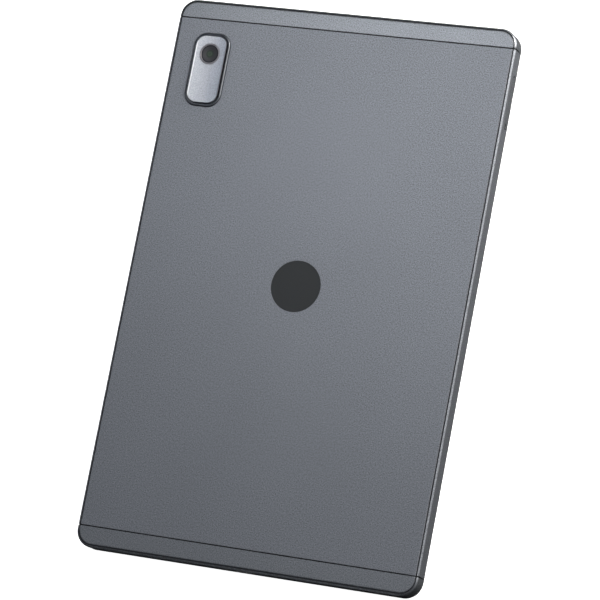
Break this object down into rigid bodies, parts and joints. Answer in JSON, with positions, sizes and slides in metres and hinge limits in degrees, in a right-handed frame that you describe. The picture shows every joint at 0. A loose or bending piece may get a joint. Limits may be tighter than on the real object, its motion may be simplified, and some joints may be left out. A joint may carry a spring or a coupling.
{
  "type": "tablet computer",
  "caption": "Slim slab-shaped tablet computer with a glass front, a three-part rear housing, a rear camera island, side keys, a card tray, a headphone socket and a reversible charging port.",
  "frame": {"origin": "centre of the cover glass's outer face, on which the tablet lies", "axes": "+X across the width, to the right as seen from behind; +Y along the length, towards the camera end; +Z out of the rear cover"},
  "size_m": [0.1373, 0.2154, 0.009],
  "materials": {
    "rear_metal": "bead-blasted and anodised dark blue-grey",
    "cap_plastic": "painted to match the metal cover, fine metallic grain",
    "seam_plastic": "dark moulded filler strip",
    "badge_film": "plain dark smooth disc",
    "cover_glass": "polished, black printed border behind",
    "adhesive": "black foam tape",
    "clear_adhesive": "clear gel sheet",
    "lcd": "dark polarised panel",
    "backlight_tray": "light guide and films in a thin pressed tray",
    "flex_film": "amber ribbon film with fine tracks",
    "frame_plastic": "dark moulded frame, satin",
    "camera_ring": "dark glossy surround",
    "camera_metal": "satin silver, fine blasted grain",
    "lens_metal": "dark satin ring",
    "lens_glass": "coated, near black with a green cast",
    "black_module": "moulded black",
    "battery_pouch": "matt foil pouch",
    "board": "solder mask, dark green",
    "chip": "moulded package",
    "shield_steel": "tinned sheet",
    "graphite": "graphite film with a dull sheen",
    "screw_steel": "plated",
    "port_steel": "drawn sheet",
    "contact_gold": "gold plated",
    "mesh_fabric": "fine woven dust mesh",
    "key_metal": "anodised to match the cover",
    "rim_plastic": "dark satin moulding"
  },
  "bodies": {
    "tablet": {"antenna_bottom": "contact_gold", "antenna_top": "contact_gold", "backlight": "backlight_tray", "battery": "battery_pouch", "battery_guard": "board", "battery_lead": "flex_film", "battery_tape": "adhesive", "board_screws": "screw_steel", "board_sockets": "black_module", "bottom_cap": "cap_plastic", "bottom_seam": "seam_plastic", "camera_barrel": "black_module", "camera_flex": "flex_film", "camera_module": "black_module", "camera_plate": "camera_metal", "camera_surround": "camera_ring", "card_reader": "port_steel", "chips": "chip", "cover_glass": "cover_glass", "display_bond": "clear_adhesive", "display_flex": "flex_film", "front_camera": "black_module", "front_rim": "rim_plastic", "glass_bond": "adhesive", "headphone_jack": "black_module", "heat_sheet": "graphite", "key_bracket": "port_steel", "key_flex": "flex_film", "key_switches": "shield_steel", "lcd_panel": "lcd", "lens_ring": "lens_metal", "lens_window": "lens_glass", "light_sensor": "black_module", "link_flex": "flex_film", "main_board": "board", "microphone_bottom": "shield_steel", "microphone_top": "shield_steel", "middle_frame": "frame_plastic", "rear_badge": "badge_film", "rear_cover": "rear_metal", "shield_cans": "shield_steel", "speaker_bottom": "black_module", "speaker_mesh_bottom": "mesh_fabric", "speaker_mesh_top": "mesh_fabric", "speaker_top": "black_module", "sub_board": "board", "top_cap": "cap_plastic", "top_seam": "seam_plastic", "usb_contacts": "contact_gold", "usb_shell": "port_steel", "usb_tongue": "black_module"},
    "power_button": {"power_button": "key_metal"},
    "volume_rocker": {"volume_rocker": "key_metal"},
    "card_tray": {"card_tray": "key_metal"},
    "eject_rod": {"eject_rod": "port_steel"},
    "eject_lever": {"eject_lever": "port_steel"}
  },
  "joints": [
    {"name": "power_button_press", "type": "slide", "parent": "tablet", "child": "power_button", "axis": [1, 0, 0], "range_m": [0, 0.0003], "stiffness_N_per_m": 2000},
    {"name": "volume_rocker_tilt", "type": "hinge", "parent": "tablet", "child": "volume_rocker", "pos_m": [-0.0672, 0.062, 0.0042], "axis": [0, 0, 1], "range_deg": [-1.2, 1.2], "stiffness_Nm_per_rad": 0.3},
    {"name": "card_tray_slide", "type": "slide", "parent": "tablet", "child": "card_tray", "axis": [1, 0, 0], "range_m": [0, 0.02]},
    {"name": "eject_rod_push", "type": "slide", "parent": "tablet", "child": "eject_rod", "axis": [-1, 0, 0], "range_m": [0, 0.0018]},
    {"name": "eject_lever_turn", "type": "hinge", "parent": "tablet", "child": "eject_lever", "pos_m": [0.0479, 0.081, 0.0039], "axis": [0, 0, 1], "range_deg": [-12, 0]}
  ],
  "couplings": [
    {"joint": "eject_lever_turn", "follows": "eject_rod_push", "rad_per_m": -115}
  ]
}
